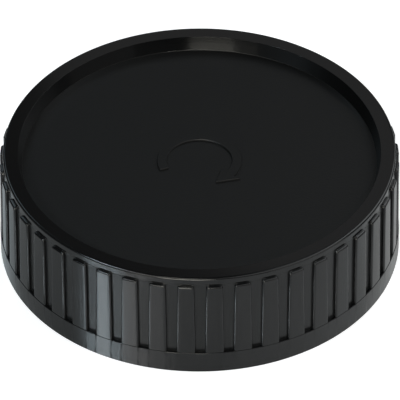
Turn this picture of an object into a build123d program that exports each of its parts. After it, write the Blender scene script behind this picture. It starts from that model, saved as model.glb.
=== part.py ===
from build123d import *
import math
import os

os.makedirs("parts", exist_ok=True)

# A rear lens cap, moulded in one piece. It stands mouth down: the origin is the centre of the
# mouth and +Z goes up through the closed end. Sizes are in millimetres and angles in degrees.

# Bayonet, which sets the width of the whole cap
lug_count = 3
throat_radius = 22.75
lug_reach = 4.33
lug_setback = 0.9
lug_thickness = 1.6
lug_arc = 50
first_lug_angle = 65
lug_corner_radius = 1.2
lug_edge_chamfer = 0.3
ramp_length = 5.0
ramp_drop = 0.7
stop_arc = 4
stop_height = 2.4
stop_reach = 2.6

# Wall and closed end
cap_height = 17.6
wall_thickness = 2.32
wall_draft = 0.1
hollow_draft = 0.15
hollow_corner_chamfer = 0.6
plate_thickness = 1.6
recess_depth = 2.1
recess_draft = 0.65
recess_foot_chamfer = 0.2
rim_width = 2.25
rim_bevel = 0.2

# Plain band round the mouth
band_height = 3.6
ledge_width = 0.5
band_edge_chamfer = 0.12
mouth_chamfer = 0.4

# Grip ribs
rib_count = 44
rib_foot_setback = 0.06
rib_face_draft = 0.1
rib_foot_width = 2.84
rib_top_width = 2.5
rib_top_below_rim = 1.23
rib_end_drop = 0.12
rib_end_radius = 0.2
rib_corner_radius = 0.5

# How deep ribs, lugs and stops are rooted in the shell
root = 0.4

# Radii and heights that follow from the sizes above
hollow_top_radius = throat_radius + lug_reach
hollow_mouth_radius = hollow_top_radius + hollow_draft
wall_top_radius = hollow_top_radius + wall_thickness
wall_foot_radius = wall_top_radius + wall_draft
band_radius = wall_foot_radius + ledge_width
recess_top_radius = wall_top_radius - rim_width
recess_floor_radius = recess_top_radius - recess_draft
recess_floor = cap_height - recess_depth
hollow_ceiling = recess_floor - plate_thickness
rib_pitch = 360 / rib_count
rib_foot = band_height - root
rib_top = cap_height - rib_top_below_rim
rib_face_top = rib_top - rib_end_drop
rib_foot_radius = band_radius - rib_foot_setback
rib_top_radius = rib_foot_radius - rib_face_draft
lug_top = lug_setback + lug_thickness


def corner(section, radius, height):
    """The corner of a section that lies nearest to this radius and height."""
    return section.vertices().sort_by_distance((radius, height))[0]


def radial_plane(angle):
    """The upright plane through the cap's axis at this angle, with its x pointing outwards."""
    outwards = (math.cos(math.radians(angle)), math.sin(math.radians(angle)), 0)
    return Plane(origin=(0, 0, 0), x_dir=outwards, z_dir=(outwards[1], -outwards[0], 0))


# Grip rib, made on the +X side: a turned section cut to a front view that tapers upwards
with BuildPart() as rib:
    with BuildSketch(Plane.XZ) as rib_section:
        with BuildLine():
            Polyline(
                (wall_top_radius - root, rib_foot),
                (rib_foot_radius, rib_foot),
                (rib_top_radius, rib_face_top),
                (wall_top_radius, rib_top),
                (wall_top_radius - root, rib_top),
                close=True,
            )
        make_face()
        fillet(corner(rib_section, rib_top_radius, rib_face_top), rib_end_radius)
    revolve(axis=Axis.Z)
    with BuildSketch(Plane.YZ) as rib_front:
        with BuildLine():
            Polyline(
                (-rib_foot_width / 2, rib_foot),
                (rib_foot_width / 2, rib_foot),
                (rib_top_width / 2, rib_top),
                (-rib_top_width / 2, rib_top),
                close=True,
            )
        make_face()
        fillet(rib_front.vertices().group_by(Axis.Y)[-1], rib_corner_radius)
    extrude(amount=band_radius, mode=Mode.INTERSECT)

# Bayonet lug: a flat tongue with rounded corners, a ramp at the end where the lens tab comes
# in and a stop at the other end
with BuildPart() as lug:
    with BuildSketch(radial_plane(0)) as tongue_section:
        with BuildLine():
            Polyline(
                (throat_radius, lug_setback),
                (hollow_mouth_radius + root, lug_setback),
                (hollow_mouth_radius + root, lug_top),
                (throat_radius, lug_top),
                close=True,
            )
        make_face()
        chamfer(corner(tongue_section, throat_radius, lug_setback), lug_edge_chamfer)
    revolve(axis=Axis.Z, revolution_arc=lug_arc)
    throat_corners = lug.edges().filter_by(Axis.Z).sort_by_distance((0, 0, lug_top))[:2]
    fillet(throat_corners, lug_corner_radius)
    with BuildSketch(Plane.YZ):
        with BuildLine():
            Polyline(
                (0, lug_top - ramp_drop),
                (ramp_length, lug_top),
                (0, lug_top),
                close=True,
            )
        make_face()
    extrude(amount=band_radius, mode=Mode.SUBTRACT)
    with BuildSketch(radial_plane(lug_arc - stop_arc)):
        with BuildLine():
            Polyline(
                (hollow_mouth_radius - stop_reach, lug_top - root),
                (hollow_mouth_radius + root, lug_top - root),
                (hollow_mouth_radius + root, lug_top + stop_height),
                (hollow_mouth_radius - stop_reach, lug_top + stop_height),
                close=True,
            )
        make_face()
    revolve(axis=Axis.Z, revolution_arc=stop_arc)

# Cap: plain band, wall, rim, recessed plate and hollow in one turned section, with the ribs
# round the wall and the lugs inside the mouth
with BuildPart() as cap_body:
    with BuildSketch(Plane.XZ) as cap_section:
        with BuildLine():
            Polyline(
                (0, recess_floor),
                (recess_floor_radius, recess_floor),
                (recess_top_radius, cap_height),
                (wall_top_radius, cap_height),
                (wall_foot_radius, band_height),
                (band_radius, band_height),
                (band_radius, 0),
                (hollow_mouth_radius, 0),
                (hollow_top_radius, hollow_ceiling),
                (0, hollow_ceiling),
                close=True,
            )
        make_face()
        chamfer(corner(cap_section, recess_floor_radius, recess_floor), recess_foot_chamfer)
        chamfer(corner(cap_section, hollow_top_radius, hollow_ceiling), hollow_corner_chamfer)
        chamfer(corner(cap_section, wall_top_radius, cap_height), rim_bevel)
        chamfer(corner(cap_section, band_radius, 0), band_edge_chamfer)
        chamfer(corner(cap_section, hollow_mouth_radius, 0), mouth_chamfer)
    revolve(axis=Axis.Z)
    with PolarLocations(0, rib_count, start_angle=rib_pitch / 2):
        add(rib.part)
    with PolarLocations(0, lug_count, start_angle=first_lug_angle):
        add(lug.part)

cap_body.part.label = "cap_body"
export_step(cap_body.part, "parts/cap_body.step")
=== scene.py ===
import math

import bmesh
import bpy
from mathutils import Matrix, Vector


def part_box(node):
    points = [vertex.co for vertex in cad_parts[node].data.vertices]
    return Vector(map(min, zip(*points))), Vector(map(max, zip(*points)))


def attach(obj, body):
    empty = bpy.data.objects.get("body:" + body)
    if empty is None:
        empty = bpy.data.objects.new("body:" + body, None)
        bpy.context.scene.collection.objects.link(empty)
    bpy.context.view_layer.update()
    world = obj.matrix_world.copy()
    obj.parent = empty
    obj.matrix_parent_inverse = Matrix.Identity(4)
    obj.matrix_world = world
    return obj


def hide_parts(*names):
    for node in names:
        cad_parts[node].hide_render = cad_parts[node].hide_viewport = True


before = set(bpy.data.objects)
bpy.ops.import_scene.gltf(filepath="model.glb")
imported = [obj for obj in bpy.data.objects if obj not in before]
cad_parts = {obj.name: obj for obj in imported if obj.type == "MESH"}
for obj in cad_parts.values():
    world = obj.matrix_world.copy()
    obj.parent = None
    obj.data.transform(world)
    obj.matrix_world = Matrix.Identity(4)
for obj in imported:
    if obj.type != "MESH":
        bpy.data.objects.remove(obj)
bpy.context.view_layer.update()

# Sizes of the cap in millimetres. Its width and height come from the frame, and the ledge, the drafts and the
# roundings differ from the part's by a fraction of a millimetre.
MM = 0.001
CAP_LOW, CAP_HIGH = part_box("cap_body")
BAND_RADIUS = (CAP_HIGH[0] - CAP_LOW[0]) / 2 / MM
CAP_HEIGHT = (CAP_HIGH[2] - CAP_LOW[2]) / MM

LEDGE_WIDTH = 0.55
BAND_HEIGHT = 3.6
BAND_EDGE_RADIUS = 0.12
MOUTH_CHAMFER = 0.4

WALL_DRAFT = 0.05
WALL_THICKNESS = 2.32
RIM_WIDTH = 2.25
RIM_RADIUS = 0.36
RIM_INNER_RADIUS = 0.02
RECESS_DEPTH = 2.1
RECESS_DRAFT = 0.65
PLATE_THICKNESS = 1.6
HOLLOW_DRAFT = 0.15
HOLLOW_CORNER_RADIUS = 0.8

RIB_COUNT = 44
RIB_FOOT_SETBACK = 0.06
RIB_FACE_DRAFT = 0.05
RIB_FOOT_WIDTH = 2.84
RIB_TOP_WIDTH = 2.5
RIB_TOP_BELOW_RIM = 1.23
RIB_END_DROP = 0.12
RIB_END_RADIUS = 0.3
RIB_CORNER_RADIUS = 0.5
RIB_LEAST_RELIEF = 0.04
ROOT = 0.4

LUG_COUNT = 3
LUG_REACH = 4.33
LUG_SETBACK = 0.9
LUG_THICKNESS = 1.6
LUG_ARC = 50
FIRST_LUG_ANGLE = 65
LUG_CORNER_RADIUS = 1.2
RAMP_LENGTH = 5.0
RAMP_DROP = 0.7
STOP_ARC = 4
STOP_HEIGHT = 2.4
STOP_REACH = 2.6

# Small roundings that a moulding tool leaves, and the shares of a low rib's height that they take at most
RIB_EDGE_RADIUS = 0.28
RIB_EDGE_SHARE = 0.6
RIB_ROOT_RADIUS = 0.004
RIB_ROOT_SHARE = 0.35
EDGE_RADIUS = 0.18
ROOT_RADIUS = 0.1
LINE_RADIUS = 0.09

# How finely the mesh follows roundings and arcs, and its flat faces in the middle of the closed end
LONG_STEPS = 10
MIDDLE_STEPS = 6
LINE_STEPS = 4
SHORT_STEPS = 3
MOUTH_STEPS = 2
LUG_COLUMNS = 30
GAP_COLUMNS = 40
DISC_RADIUS = 4
FLOOR_RING_WIDTH = 2
CEILING_RING_WIDTH = 3
SHARP_ANGLE = 38
WELD_DISTANCE = 1e-8
NEARLY_STRAIGHT = 1e-6

# Turning arrow on the recessed end
SIGN_RADIUS = 5.6
SIGN_STROKE = 1.5
SIGN_START = 200
SIGN_SWEEP = 235
SIGN_HEAD_WIDTH = 3.6
SIGN_HEAD_LENGTH = 2.9
SIGN_RELIEF = 0.3
SIGN_ROOT = 0.1
SIGN_SHOULDER = 0.55
SIGN_SHOULDER_INSET = 0.02
SIGN_TOP_INSET = 0.1
SIGN_LEAST_SPREAD = 0.35
SIGN_STEPS = 48

# Plastic. The sizes of its grain and marks are in millimetres
SATIN_COLOUR = (0.0022, 0.0023, 0.0024)
MARKED_COLOUR = (0.0064, 0.0066, 0.007)
MATT_COLOUR = (0.0034, 0.0033, 0.0032)
PLASTIC_IOR = 1.46
SATIN_ROUGHNESS = 0.1
GROOVE_ROUGHNESS = 0.3
MATT_ROUGHNESS = 0.42
ROUGHNESS_SPREAD = 0.06
GRAIN_SIZE = 0.35
GRAIN_DETAIL = 4
SATIN_GRAIN_DEPTH = 0.0015
MATT_GRAIN_DEPTH = 0.02
RING_SPACING = 0.22
RING_DETAIL = 3
RING_SLOPE = 1.7
RING_DEPTH = 0.006
DRAWN_SPACING = 0.17
DRAWN_DETAIL = 2
DRAWN_DEPTH = 0.012
DRAWN_CONTRAST = 3
DRAWN_STRETCH = 0.04

# How far the plastic's regions reach past their faces
REGION_MARGIN = 0.1
RECESS_MARGIN = 0.02
GROOVE_MARGIN = 0.08

# Floor and room
FLOOR_RADIUS = 6
FLOOR_SIDES = 96
FLOOR_COLOUR = 0.82
FLOOR_LIFT = 0.66
FLOOR_ROUGHNESS = 0.19
FLOOR_IOR = 2.6
ROOM_BRIGHTNESS = 0.03
WARM = (1, 0.98, 0.88)
COOL = (0.76, 0.94, 1.04)
PALE = (0.92, 0.98, 1)

# Camera: its distance is in metres, and its lens is held by the picture's width and focal length in pixels
CAMERA_DISTANCE = 1.2
CAMERA_ELEVATION = 40.378
CAMERA_ROLL = -0.289
SENSOR_WIDTH = 36
PICTURE_PIXELS = 400
FOCAL_PIXELS = 7955
AIM_ABOVE_PIXELS = 40.6
AIM_RIGHT_PIXELS = 0.35
CLIP_END = 100

# Radii and heights that follow
WALL_FOOT = BAND_RADIUS - LEDGE_WIDTH
WALL_TOP = WALL_FOOT - WALL_DRAFT
RECESS_TOP = WALL_TOP - RIM_WIDTH
RECESS_FLOOR_RADIUS = RECESS_TOP - RECESS_DRAFT
RECESS_FLOOR = CAP_HEIGHT - RECESS_DEPTH
CEILING = RECESS_FLOOR - PLATE_THICKNESS
HOLLOW_TOP = WALL_TOP - WALL_THICKNESS
HOLLOW_MOUTH = HOLLOW_TOP + HOLLOW_DRAFT
THROAT = HOLLOW_TOP - LUG_REACH
LUG_TOP = LUG_SETBACK + LUG_THICKNESS
STOP_TOP = LUG_TOP + STOP_HEIGHT
STOP_RADIUS = HOLLOW_MOUTH - STOP_REACH
RIB_TOP = CAP_HEIGHT - RIB_TOP_BELOW_RIM
RIB_FACE_TOP = RIB_TOP - RIB_END_DROP
RIB_FOOT_RADIUS = BAND_RADIUS - RIB_FOOT_SETBACK
RIB_FACE_TOP_RADIUS = RIB_FOOT_RADIUS - RIB_FACE_DRAFT
HALF_PITCH = math.pi / RIB_COUNT


def rounded(corners):
    """A profile through corners, each (radius, height, rounding, steps), as a list of (radius, height)."""
    points = []
    for place, (r, z, rounding, steps) in enumerate(corners):
        here = Vector((r, z))
        if not steps:
            points.append((r, z))
            continue
        before = (Vector(corners[place - 1][:2]) - here).normalized()
        after = (Vector(corners[place + 1][:2]) - here).normalized()
        half_angle = before.angle(after) / 2
        if half_angle >= math.pi / 2 - NEARLY_STRAIGHT:
            points += [tuple(here + before * rounding * (1 - 2 * step / steps)) for step in range(steps + 1)]
            continue
        tangent = rounding / math.tan(half_angle)
        start, end = here + before * tangent, here + after * tangent
        centre = here + (before + after).normalized() * rounding / math.sin(half_angle)
        sweep = (start - centre).angle_signed(end - centre)
        for step in range(steps + 1):
            arm = start - centre
            arm.rotate(Matrix.Rotation(-sweep * step / steps, 2))
            points.append(tuple(centre + arm))
    return points


def wall_radius(z):
    """The radius of the tapering wall between the ribs at this height."""
    return WALL_FOOT - WALL_DRAFT * (z - BAND_HEIGHT) / (CAP_HEIGHT - BAND_HEIGHT)


def hollow_radius(z):
    """The radius of the tapering hollow at this height."""
    return HOLLOW_MOUTH - HOLLOW_DRAFT * z / CEILING


def rib_half_width(z):
    """Half the width of a rib at this height, with its top corners rounded."""
    share = (z - BAND_HEIGHT) / (RIB_TOP - BAND_HEIGHT)
    width = RIB_FOOT_WIDTH + (RIB_TOP_WIDTH - RIB_FOOT_WIDTH) * share
    into_corner = max(0, z - RIB_TOP + RIB_CORNER_RADIUS)
    lost = RIB_CORNER_RADIUS - math.sqrt(RIB_CORNER_RADIUS**2 - into_corner**2)
    return width / 2 - lost


def rib_section(wall, face, half_width):
    """One pitch of the grip at one height, as (radius, angle from the middle of the rib)."""
    height = face - wall
    root = min(RIB_ROOT_RADIUS, RIB_ROOT_SHARE * height)
    edge = min(RIB_EDGE_RADIUS, RIB_EDGE_SHARE * height)
    half = [(0, half_width + root)]
    for turn in (30, 60, 90):
        a = math.radians(turn)
        half.append((root * (1 - math.cos(a)), half_width + root * (1 - math.sin(a))))
    for turn in (0, 22.5, 45, 67.5, 90):
        a = math.radians(turn)
        half.append((height - edge * (1 - math.sin(a)), half_width - edge * (1 - math.cos(a))))
    half += [(height, half_width * share) for share in (0.6, 0.25)]
    side = [(wall, HALF_PITCH)]
    side += [(wall + rise, math.asin(across / (wall + rise))) for rise, across in half]
    return side + [(r, -a) for r, a in reversed(side[1:])]


def rib_row(face, z):
    """One row of the grip at this height, with the ribs' faces at this radius, as (radius, angle, height)."""
    return [(r, a, z) for r, a in rib_section(wall_radius(z), face, rib_half_width(z))]


def rib_rows():
    """Rows of the grip from the ribs' tops down to above their feet."""
    end = rounded([
        (RIB_FOOT_RADIUS, BAND_HEIGHT, 0, 0),
        (RIB_FACE_TOP_RADIUS, RIB_FACE_TOP, RIB_END_RADIUS, LONG_STEPS),
        (WALL_TOP - ROOT, RIB_TOP, 0, 0),
    ])[1:]
    proud = [(face, z) for face, z in end if face > wall_radius(z) + RIB_LEAST_RELIEF]
    under, over = Vector(proud[-1]), Vector(end[len(proud)])
    share = (under.x - wall_radius(under.y)) / (under.x - over.x)
    end_height = under.lerp(over, share).y
    rows = [rib_row(wall_radius(end_height), end_height)]
    rows += [rib_row(face, z) for face, z in reversed(proud)]
    for share in (0.75, 0.5, 0.25):
        face = RIB_FOOT_RADIUS + (RIB_FACE_TOP_RADIUS - RIB_FOOT_RADIUS) * share
        rows.append(rib_row(face, BAND_HEIGHT + (end[0][1] - BAND_HEIGHT) * share))
    return rows


def band_rows():
    """Rows from the foot of the ribs over the ledge and down to the foot of the band."""
    columns = []
    for r, a in rib_section(WALL_FOOT, RIB_FOOT_RADIUS, rib_half_width(BAND_HEIGHT)):
        width = BAND_RADIUS - r
        corners = [
            (r, BAND_HEIGHT + 1, 0, 0),
            (r, BAND_HEIGHT, min(RIB_ROOT_RADIUS, width * 0.4), SHORT_STEPS),
            (BAND_RADIUS, BAND_HEIGHT, min(LINE_RADIUS, width * 0.5), LINE_STEPS),
            (BAND_RADIUS, 0, BAND_EDGE_RADIUS, LINE_STEPS),
            (HOLLOW_MOUTH, 0, 0, 0),
        ]
        columns.append([(radius, a, z) for radius, z in rounded(corners)[1:-1]])
    return [list(row) for row in zip(*columns)]


def closed_end_rows():
    """Rows from the middle of the recessed end, over the rim and down to the ribs' tops."""
    top = rib_rows()[0]
    angles, end_height = [a for r, a, z in top], top[0][2]
    profile = rounded([
        (DISC_RADIUS, RECESS_FLOOR, 0, 0),
        (RECESS_FLOOR_RADIUS - FLOOR_RING_WIDTH, RECESS_FLOOR, 0, 0),
        (RECESS_FLOOR_RADIUS, RECESS_FLOOR, 0, 0),
        (RECESS_TOP, CAP_HEIGHT, RIM_INNER_RADIUS, MIDDLE_STEPS),
        (WALL_TOP, CAP_HEIGHT, RIM_RADIUS, LONG_STEPS),
        (wall_radius(end_height), end_height, 0, 0),
    ])[:-1]
    return [[(r, a, z) for a in angles] for r, z in profile]


def lug_columns():
    """Columns of the hollow: (angle, inner radius of the lug or None, height of its top, if at the stop)."""
    columns = []
    arc = math.radians(LUG_ARC)
    gap = 2 * math.pi / LUG_COUNT - arc
    stop = arc - math.radians(STOP_ARC)
    rounding = LUG_CORNER_RADIUS / THROAT
    corner = [rounding * (1 - math.cos(math.radians(turn))) for turn in (0, 18, 36, 54, 72, 90)]
    middle = [rounding + (stop - rounding) * step / LUG_COLUMNS for step in range(1, LUG_COLUMNS)]
    places = corner + middle + [stop, stop] + [arc - place for place in reversed(corner)]
    for lug in range(LUG_COUNT):
        start = math.radians(FIRST_LUG_ANGLE + 360 / LUG_COUNT * lug)
        columns.append((start, None, LUG_TOP, False))
        for number, place in enumerate(places):
            from_end = min(place, arc - place, rounding) * THROAT
            dip = math.sqrt(max(0, LUG_CORNER_RADIUS**2 - (LUG_CORNER_RADIUS - from_end) ** 2))
            inner = THROAT + LUG_CORNER_RADIUS - dip
            along = min(1, place * THROAT / RAMP_LENGTH)
            at_stop = number > len(corner) + len(middle)
            columns.append((start + place, inner, LUG_TOP - RAMP_DROP * (1 - along), at_stop))
        columns.append((start + arc, None, LUG_TOP, False))
        for step in range(1, GAP_COLUMNS):
            columns.append((start + arc + gap * step / GAP_COLUMNS, None, LUG_TOP, False))
    return columns


def on_hollow(z, rounding):
    """A corner of a profile that lies on the wall of the hollow."""
    return hollow_radius(z), z, rounding, SHORT_STEPS


def lug_corners(inner, top, at_stop):
    """The corners of one column of the hollow between its mouth and ceiling, six with or without a lug."""
    half_way = top + STOP_HEIGHT * 0.5
    if inner is None:
        thick = top - LUG_SETBACK
        return [
            on_hollow(LUG_SETBACK, ROOT_RADIUS), on_hollow(LUG_SETBACK + thick * 0.3, EDGE_RADIUS),
            on_hollow(top - thick * 0.3, EDGE_RADIUS), on_hollow(top, ROOT_RADIUS),
            on_hollow(half_way, EDGE_RADIUS), on_hollow(STOP_TOP, ROOT_RADIUS),
        ]
    if at_stop:
        above = [
            (STOP_RADIUS, top, ROOT_RADIUS, SHORT_STEPS),
            (STOP_RADIUS, STOP_TOP, EDGE_RADIUS, SHORT_STEPS),
        ]
    else:
        above = [on_hollow(top, ROOT_RADIUS), on_hollow(half_way, EDGE_RADIUS)]
    return [
        on_hollow(LUG_SETBACK, ROOT_RADIUS),
        (inner, LUG_SETBACK, EDGE_RADIUS, SHORT_STEPS),
        (inner, top, EDGE_RADIUS, SHORT_STEPS),
        *above,
        on_hollow(STOP_TOP, ROOT_RADIUS),
    ]


def hollow_rows():
    """Rows from the mouth up the hollow, over the lugs, to the middle of the ceiling."""
    profiles = []
    for angle, inner, top, at_stop in lug_columns():
        corners = [
            (HOLLOW_MOUTH + MOUTH_CHAMFER + 1, 0, 0, 0),
            (HOLLOW_MOUTH + MOUTH_CHAMFER, 0, LINE_RADIUS, MOUTH_STEPS),
            (hollow_radius(MOUTH_CHAMFER), MOUTH_CHAMFER, LINE_RADIUS, MOUTH_STEPS),
            *lug_corners(inner, top, at_stop),
            (HOLLOW_TOP, CEILING, HOLLOW_CORNER_RADIUS, MIDDLE_STEPS),
            (HOLLOW_TOP - CEILING_RING_WIDTH, CEILING, 0, 0),
            (DISC_RADIUS, CEILING, 0, 0),
        ]
        profiles.append([(r, angle, z) for r, z in rounded(corners)[1:]])
    return [list(row) for row in zip(*profiles)]


def add_loops(mesh, rows):
    """Closed loops of vertices, joined row by row with quads."""
    loops = []
    for row in rows:
        loops.append([
            mesh.verts.new((r * math.cos(a) * MM, r * math.sin(a) * MM, z * MM)) for r, a, z in row
        ])
    for upper, lower in zip(loops, loops[1:]):
        count = len(upper)
        for place in range(count):
            after = (place + 1) % count
            mesh.faces.new((upper[place], upper[after], lower[after], lower[place]))
    return loops


def around(vertex):
    """The angle of a vertex round the cap's axis."""
    return math.atan2(vertex.co.y, vertex.co.x)


def add_mouth(mesh, outer, inner):
    """Triangles over the flat ring of the mouth, between two loops whose vertices don't pair up."""
    outer, inner = sorted(outer, key=around), sorted(inner, key=around)
    out_angles = [around(vertex) for vertex in outer[1:]] + [around(outer[0]) + 2 * math.pi, math.inf]
    in_angles = [around(vertex) for vertex in inner[1:]] + [around(inner[0]) + 2 * math.pi, math.inf]
    outer.append(outer[0])
    inner.append(inner[0])
    i = j = 0
    while i < len(outer) - 1 or j < len(inner) - 1:
        if out_angles[i] < in_angles[j]:
            mesh.faces.new((outer[i], outer[i + 1], inner[j]))
            i += 1
        else:
            mesh.faces.new((outer[i], inner[j + 1], inner[j]))
            j += 1


def cap_mesh():
    """The whole cap as one closed mesh."""
    mesh = bmesh.new()
    outside = []
    for row in closed_end_rows() + rib_rows() + band_rows():
        loop = []
        for rib in range(RIB_COUNT):
            middle = (2 * rib + 1) * HALF_PITCH
            loop += [(r, middle - a, z) for r, a, z in row]
        outside.append(loop)
    outer = add_loops(mesh, outside)
    inner = add_loops(mesh, hollow_rows())
    mesh.faces.new(outer[0])
    mesh.faces.new(inner[-1])
    add_mouth(mesh, outer[-1], inner[0])
    bmesh.ops.remove_doubles(mesh, verts=mesh.verts, dist=WELD_DISTANCE)
    bmesh.ops.recalc_face_normals(mesh, faces=mesh.faces)
    for face in mesh.faces:
        face.smooth = True
    for edge in mesh.edges:
        edge.smooth = edge.calc_face_angle(0) < math.radians(SHARP_ANGLE)
    return mesh


def polar(radius, angle):
    """The point at this radius and angle."""
    return Vector((radius * math.cos(angle), radius * math.sin(angle)))


def sign_outline():
    """The outline of the turning arrow: its outer arc, its head and its inner arc."""
    stroke = SIGN_STROKE / 2
    turns = [math.radians(SIGN_START - SIGN_SWEEP * step / SIGN_STEPS) for step in range(SIGN_STEPS + 1)]
    end = turns[-1]
    head = [
        polar(SIGN_RADIUS + SIGN_HEAD_WIDTH / 2, end),
        polar(SIGN_RADIUS, end - SIGN_HEAD_LENGTH / SIGN_RADIUS),
        polar(SIGN_RADIUS - SIGN_HEAD_WIDTH / 2, end),
    ]
    outer = [polar(SIGN_RADIUS + stroke, a) for a in turns]
    inner = [polar(SIGN_RADIUS - stroke, a) for a in reversed(turns)]
    return outer + head + inner


def sign_loop(mesh, outline, z, inset):
    """A loop of vertices along an outline, moved inwards by this much."""
    loop = []
    for place, point in enumerate(outline):
        before, after = outline[place - 1], outline[(place + 1) % len(outline)]
        one, two = (point - before).normalized(), (after - point).normalized()
        inwards = (Vector((one.y, -one.x)) + Vector((two.y, -two.x))).normalized()
        spread = max(SIGN_LEAST_SPREAD, inwards.dot(Vector((one.y, -one.x))))
        at = point + inwards * inset / spread
        loop.append(mesh.verts.new((at.x * MM, at.y * MM, z * MM)))
    return loop


def sign_mesh():
    """A plain turning arrow, raised from the middle of the recessed end."""
    outline = sign_outline()
    mesh = bmesh.new()
    loops = [
        sign_loop(mesh, outline, RECESS_FLOOR - SIGN_ROOT, 0),
        sign_loop(mesh, outline, RECESS_FLOOR + SIGN_RELIEF * SIGN_SHOULDER, SIGN_SHOULDER_INSET),
        sign_loop(mesh, outline, RECESS_FLOOR + SIGN_RELIEF, SIGN_TOP_INSET),
    ]
    for lower, upper in zip(loops, loops[1:]):
        for place in range(len(lower)):
            mesh.faces.new((lower[place - 1], lower[place], upper[place], upper[place - 1]))
    mesh.faces.new(loops[0])
    mesh.faces.new(loops[-1])
    bmesh.ops.triangulate(mesh, faces=[face for face in mesh.faces if len(face.verts) > 4])
    bmesh.ops.recalc_face_normals(mesh, faces=mesh.faces)
    return mesh


def add_piece(name, mesh, material):
    """A piece of the cap from a bmesh, riding with the cap."""
    data = bpy.data.meshes.new(name)
    mesh.to_mesh(data)
    mesh.free()
    data.materials.append(material)
    piece = bpy.data.objects.new(name, data)
    bpy.context.scene.collection.objects.link(piece)
    weighted = piece.modifiers.new("flat faces stay flat", "WEIGHTED_NORMAL")
    weighted.keep_sharp = True
    weighted.weight = 100
    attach(piece, "root")
    return piece


def new_material(name):
    """A new material with its node tree."""
    material = bpy.data.materials.new(name)
    material.use_nodes = True
    return material, material.node_tree


def calc(tree, operation, *values):
    """The result of a Math node whose inputs are numbers or the outputs of other nodes."""
    node = tree.nodes.new("ShaderNodeMath")
    node.operation = operation
    for socket, value in zip(node.inputs, values):
        if isinstance(value, (int, float)):
            socket.default_value = value
        else:
            tree.links.new(value, socket)
    return node.outputs[0]


def product(tree, first, *others):
    """The product of several values."""
    for other in others:
        first = calc(tree, "MULTIPLY", first, other)
    return first


def add_noise(tree, vector, size, detail):
    """A fixed noise with features of this size in millimetres, as a value round 0."""
    noise = tree.nodes.new("ShaderNodeTexNoise")
    noise.inputs["Scale"].default_value = 1 / (size * MM)
    noise.inputs["Detail"].default_value = detail
    tree.links.new(vector, noise.inputs["Vector"])
    return calc(tree, "SUBTRACT", noise.outputs["Fac"], 0.5)


def combine(tree, *values):
    """A vector from up to three values."""
    node = tree.nodes.new("ShaderNodeCombineXYZ")
    for socket, value in zip(node.inputs, values):
        tree.links.new(value, socket)
    return node.outputs[0]


def mix_colours(tree, factor, first, second):
    """A mix of two colours, each a value or the output of another node."""
    node = tree.nodes.new("ShaderNodeMix")
    node.data_type = "RGBA"
    tree.links.new(factor, node.inputs["Factor"])
    for socket, colour in ((node.inputs[6], first), (node.inputs[7], second)):
        if isinstance(colour, tuple):
            socket.default_value = (*colour, 1)
        else:
            tree.links.new(colour, socket)
    return node.outputs[2]


def mix_shaders(tree, factor, first, second):
    """A mix of two shaders."""
    node = tree.nodes.new("ShaderNodeMixShader")
    for socket, value in zip(node.inputs, (factor, first, second)):
        tree.links.new(value, socket)
    return node.outputs[0]


def plastic_regions(tree, radius, z):
    """Masks that are 1 on the floor of the recess, on the turned rim, on the walls and in the grooves."""
    below_rim = calc(tree, "LESS_THAN", z, (RECESS_FLOOR + SIGN_RELIEF + REGION_MARGIN) * MM)
    at_end = calc(tree, "GREATER_THAN", z, (RECESS_FLOOR - REGION_MARGIN) * MM)
    on_floor = calc(tree, "LESS_THAN", radius, (RECESS_FLOOR_RADIUS + RECESS_MARGIN) * MM)
    recess = product(tree, below_rim, at_end, on_floor)

    within_rim = calc(tree, "LESS_THAN", radius, (WALL_TOP - RIM_RADIUS) * MM)
    turned = product(tree, at_end, within_rim, calc(tree, "SUBTRACT", 1, recess))
    walls = calc(tree, "SUBTRACT", calc(tree, "SUBTRACT", 1, turned), recess)

    below_ribs_tops = calc(tree, "LESS_THAN", z, RIB_TOP * MM)
    between_ribs = calc(tree, "LESS_THAN", radius, (WALL_FOOT + GROOVE_MARGIN) * MM)
    outside = calc(tree, "GREATER_THAN", radius, (WALL_TOP - REGION_MARGIN) * MM)
    return recess, turned, walls, product(tree, between_ribs, below_ribs_tops, outside)


def plastic_colour(tree, recess, walls, drawn):
    """The colour of the plastic: lighter along drawn marks on the walls, and its own in the recess."""
    streaks = product(tree, walls, calc(tree, "MULTIPLY_ADD", drawn, DRAWN_CONTRAST, 0.5))
    satin = mix_colours(tree, streaks, SATIN_COLOUR, MARKED_COLOUR)
    return mix_colours(tree, recess, satin, MATT_COLOUR)


def plastic_roughness(tree, recess, walls, groove, grain, drawn):
    """The roughness of the plastic: satin, duller in the grooves and matt in the recess."""
    spread = calc(tree, "MULTIPLY_ADD", grain, ROUGHNESS_SPREAD, SATIN_ROUGHNESS)
    worn = calc(tree, "MULTIPLY_ADD", drawn, product(tree, walls, ROUGHNESS_SPREAD), spread)
    matt = product(tree, recess, MATT_ROUGHNESS - SATIN_ROUGHNESS)
    dull = calc(tree, "MULTIPLY_ADD", groove, GROOVE_ROUGHNESS - SATIN_ROUGHNESS, matt)
    return calc(tree, "ADD", worn, dull)


def plastic_relief(tree, recess, turned, walls, grain, rings, drawn):
    """The fine relief of the plastic: grain all over, rings on the rim and drawn marks on the walls."""
    grain_depth = calc(tree, "MULTIPLY_ADD", recess, MATT_GRAIN_DEPTH - SATIN_GRAIN_DEPTH, SATIN_GRAIN_DEPTH)
    grained = product(tree, grain, grain_depth)
    ringed = calc(tree, "MULTIPLY_ADD", rings, product(tree, turned, RING_DEPTH), grained)
    height = calc(tree, "MULTIPLY_ADD", drawn, product(tree, walls, DRAWN_DEPTH), ringed)
    bump = tree.nodes.new("ShaderNodeBump")
    bump.inputs["Distance"].default_value = MM
    tree.links.new(height, bump.inputs["Height"])
    return bump.outputs[0]


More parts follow.
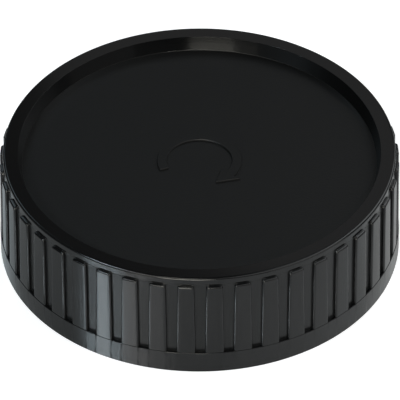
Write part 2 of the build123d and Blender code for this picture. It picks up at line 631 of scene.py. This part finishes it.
def black_plastic():
    """Black moulded plastic: satin with drawn marks on the walls and turned rings on the rim, and matt inside."""
    material, tree = new_material("black_plastic")
    place = tree.nodes.new("ShaderNodeTexCoord").outputs["Object"]
    split = tree.nodes.new("ShaderNodeSeparateXYZ")
    tree.links.new(place, split.inputs[0])
    x, y, z = split.outputs
    radius = calc(tree, "SQRT", calc(tree, "ADD", product(tree, x, x), product(tree, y, y)))
    recess, turned, walls, groove = plastic_regions(tree, radius, z)

    across_rings = combine(tree, calc(tree, "MULTIPLY_ADD", radius, RING_SLOPE, z))
    across_marks = combine(tree, x, y, product(tree, z, DRAWN_STRETCH))
    grain = add_noise(tree, place, GRAIN_SIZE, GRAIN_DETAIL)
    rings = add_noise(tree, across_rings, RING_SPACING, RING_DETAIL)
    drawn = add_noise(tree, across_marks, DRAWN_SPACING, DRAWN_DETAIL)

    shader = tree.nodes["Principled BSDF"]
    shader.inputs["IOR"].default_value = PLASTIC_IOR
    tree.links.new(plastic_colour(tree, recess, walls, drawn), shader.inputs["Base Color"])
    roughness = plastic_roughness(tree, recess, walls, groove, grain, drawn)
    tree.links.new(roughness, shader.inputs["Roughness"])
    relief = plastic_relief(tree, recess, turned, walls, grain, rings, drawn)
    tree.links.new(relief, shader.inputs["Normal"])
    return material


def white_floor():
    """A white floor with a faint glaze, lifted to white where the camera sees it and clear from below."""
    material, tree = new_material("white_floor")
    tree.nodes.clear()
    diffuse = tree.nodes.new("ShaderNodeBsdfDiffuse")
    diffuse.inputs["Color"].default_value = (FLOOR_COLOUR, FLOOR_COLOUR, FLOOR_COLOUR, 1)
    glaze = tree.nodes.new("ShaderNodeBsdfGlossy")
    glaze.inputs["Roughness"].default_value = FLOOR_ROUGHNESS
    fresnel = tree.nodes.new("ShaderNodeFresnel")
    fresnel.inputs["IOR"].default_value = FLOOR_IOR
    glazed = mix_shaders(tree, fresnel.outputs[0], diffuse.outputs[0], glaze.outputs[0])

    lift = tree.nodes.new("ShaderNodeEmission")
    seen = tree.nodes.new("ShaderNodeLightPath").outputs["Is Camera Ray"]
    tree.links.new(product(tree, seen, FLOOR_LIFT), lift.inputs["Strength"])
    lifted = tree.nodes.new("ShaderNodeAddShader")
    tree.links.new(glazed, lifted.inputs[0])
    tree.links.new(lift.outputs[0], lifted.inputs[1])

    from_below = tree.nodes.new("ShaderNodeNewGeometry").outputs["Backfacing"]
    clear = tree.nodes.new("ShaderNodeBsdfTransparent")
    output = tree.nodes.new("ShaderNodeOutputMaterial")
    shown = mix_shaders(tree, from_below, lifted.outputs[0], clear.outputs[0])
    tree.links.new(shown, output.inputs["Surface"])
    return material


def add_floor():
    """A wide round floor under the cap, open under the hollow so that a lamp below can show the bayonet."""
    mesh = bmesh.new()
    for radius in (FLOOR_RADIUS, (HOLLOW_MOUTH + BAND_RADIUS) / 2 * MM):
        bmesh.ops.create_circle(mesh, segments=FLOOR_SIDES, radius=radius)
    bmesh.ops.bridge_loops(mesh, edges=mesh.edges)
    bmesh.ops.recalc_face_normals(mesh, faces=mesh.faces)
    if next(iter(mesh.faces)).normal.z < 0:
        bmesh.ops.reverse_faces(mesh, faces=mesh.faces)
    data = bpy.data.meshes.new("floor")
    mesh.to_mesh(data)
    mesh.free()
    data.materials.append(white_floor())
    floor = bpy.data.objects.new("floor", data)
    bpy.context.scene.collection.objects.link(floor)


def direction(azimuth, elevation):
    """The unit vector at this azimuth, from the front towards the right, and elevation, in degrees."""
    azimuth, elevation = math.radians(azimuth), math.radians(elevation)
    return Vector((
        math.sin(azimuth) * math.cos(elevation), -math.cos(azimuth) * math.cos(elevation), math.sin(elevation)
    ))


def add_camera():
    """The camera at the photograph's angle, far away and with a long lens."""
    data = bpy.data.cameras.new("camera")
    data.sensor_width = SENSOR_WIDTH
    data.lens = FOCAL_PIXELS / PICTURE_PIXELS * SENSOR_WIDTH
    data.clip_end = CLIP_END
    camera = bpy.data.objects.new("camera", data)
    bpy.context.scene.collection.objects.link(camera)
    camera.location = direction(0, CAMERA_ELEVATION) * CAMERA_DISTANCE
    tilt = math.radians(90 - CAMERA_ELEVATION) + math.atan(AIM_ABOVE_PIXELS / FOCAL_PIXELS)
    roll = math.radians(CAMERA_ROLL)
    yaw = -math.atan(AIM_RIGHT_PIXELS / FOCAL_PIXELS)
    turn = Matrix.Rotation(tilt, 3, "X") @ Matrix.Rotation(yaw, 3, "Y") @ Matrix.Rotation(roll, 3, "Z")
    camera.rotation_euler = turn.to_euler()
    bpy.context.scene.camera = camera


def add_world():
    """A dim room round the lamps."""
    world = bpy.data.worlds.new("studio")
    bpy.context.scene.world = world
    world.use_nodes = True
    background = world.node_tree.nodes["Background"]
    background.inputs["Color"].default_value = (1, 1, 1, 1)
    background.inputs["Strength"].default_value = ROOM_BRIGHTNESS


def add_softbox(name, at, size, brightness, colour=(1, 1, 1), roll=0):
    """A rectangular lamp that faces the cap, at an azimuth and elevation in degrees and a distance in metres.

    Its size is its width and height in metres, and its brightness is on the scale where 1 is white.
    """
    azimuth, elevation, distance = at
    width, height = size
    data = bpy.data.lights.new(name, "AREA")
    data.shape = "RECTANGLE"
    data.size = width
    data.size_y = height
    data.color = colour
    data.energy = brightness * math.pi * width * height
    lamp = bpy.data.objects.new(name, data)
    bpy.context.scene.collection.objects.link(lamp)
    lamp.location = direction(azimuth, elevation) * distance
    facing = direction(azimuth, elevation).to_track_quat("Z", "Y").to_matrix()
    lamp.rotation_euler = (facing @ Matrix.Rotation(math.radians(roll), 3, "Z")).to_euler()
    lamp.visible_camera = False


def add_key_lamps():
    """The lamps at the left front, whose image in the floor makes the light streak on the wall."""
    add_softbox("key_left", at=(-57, 39.5, 1.0), size=(0.3, 0.11), brightness=25, colour=COOL)
    add_softbox("key_core", at=(-58, 39.5, 1.0), size=(0.04, 0.11), brightness=45)
    add_softbox("key_right", at=(-40, 39.5, 1.0), size=(0.2, 0.11), brightness=13)
    add_softbox("key_edge", at=(-26, 39, 1.0), size=(0.22, 0.1), brightness=6)


def add_front_lamps():
    """The lamps at the front. The low ones light the back of the recess's wall."""
    add_softbox("front_edge", at=(-6, 39, 1.0), size=(0.44, 0.12), brightness=1.6)
    add_softbox("front_fill", at=(-12, 60, 1.0), size=(0.2, 0.1), brightness=10, colour=WARM)
    add_softbox("front_low", at=(-8, 8, 1.0), size=(0.46, 0.16), brightness=15, colour=WARM)
    add_softbox("front_low_edge", at=(-28, 8, 1.0), size=(0.2, 0.16), brightness=3, colour=WARM)


def add_side_lamps():
    """The lamps that brighten the wall towards its outlines, mostly at the right."""
    add_softbox("right_low", at=(60, 9, 1.0), size=(0.8, 0.2), brightness=1.2)
    add_softbox("right_front", at=(52, 42, 0.7), size=(0.75, 0.34), brightness=1.26)
    add_softbox("right_back", at=(122, 42, 0.7), size=(0.64, 0.34), brightness=1.28, colour=PALE)
    add_softbox("right_high", at=(100, 60, 0.7), size=(0.5, 0.4), brightness=0.75, colour=PALE)
    add_softbox("right_card", at=(122, 38, 0.15), size=(0.1, 0.1), brightness=0.6)
    add_softbox("left_back", at=(-148, 42, 0.7), size=(0.28, 0.2), brightness=1.3, colour=COOL)


def add_cards():
    """The cards behind the cap, which its flat rim mirrors, and a lamp under the floor for the hollow."""
    add_softbox("back_card", at=(176.7, 39.9, 0.31), size=(0.06, 0.09), brightness=0.22, roll=45)
    add_softbox("back_card_dim", at=(180, 40, 0.34), size=(0.12, 0.12), brightness=0.05)
    add_softbox("hollow_fill", at=(20, -65, 0.6), size=(0.4, 0.4), brightness=3)


plastic = black_plastic()
cap = add_piece("moulded_cap", cap_mesh(), plastic)
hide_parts("cap_body")
add_piece("turning_sign", sign_mesh(), plastic)

add_floor()
add_camera()
add_world()
add_key_lamps()
add_front_lamps()
add_side_lamps()
add_cards()
bpy.context.scene.view_settings.view_transform = "Standard"
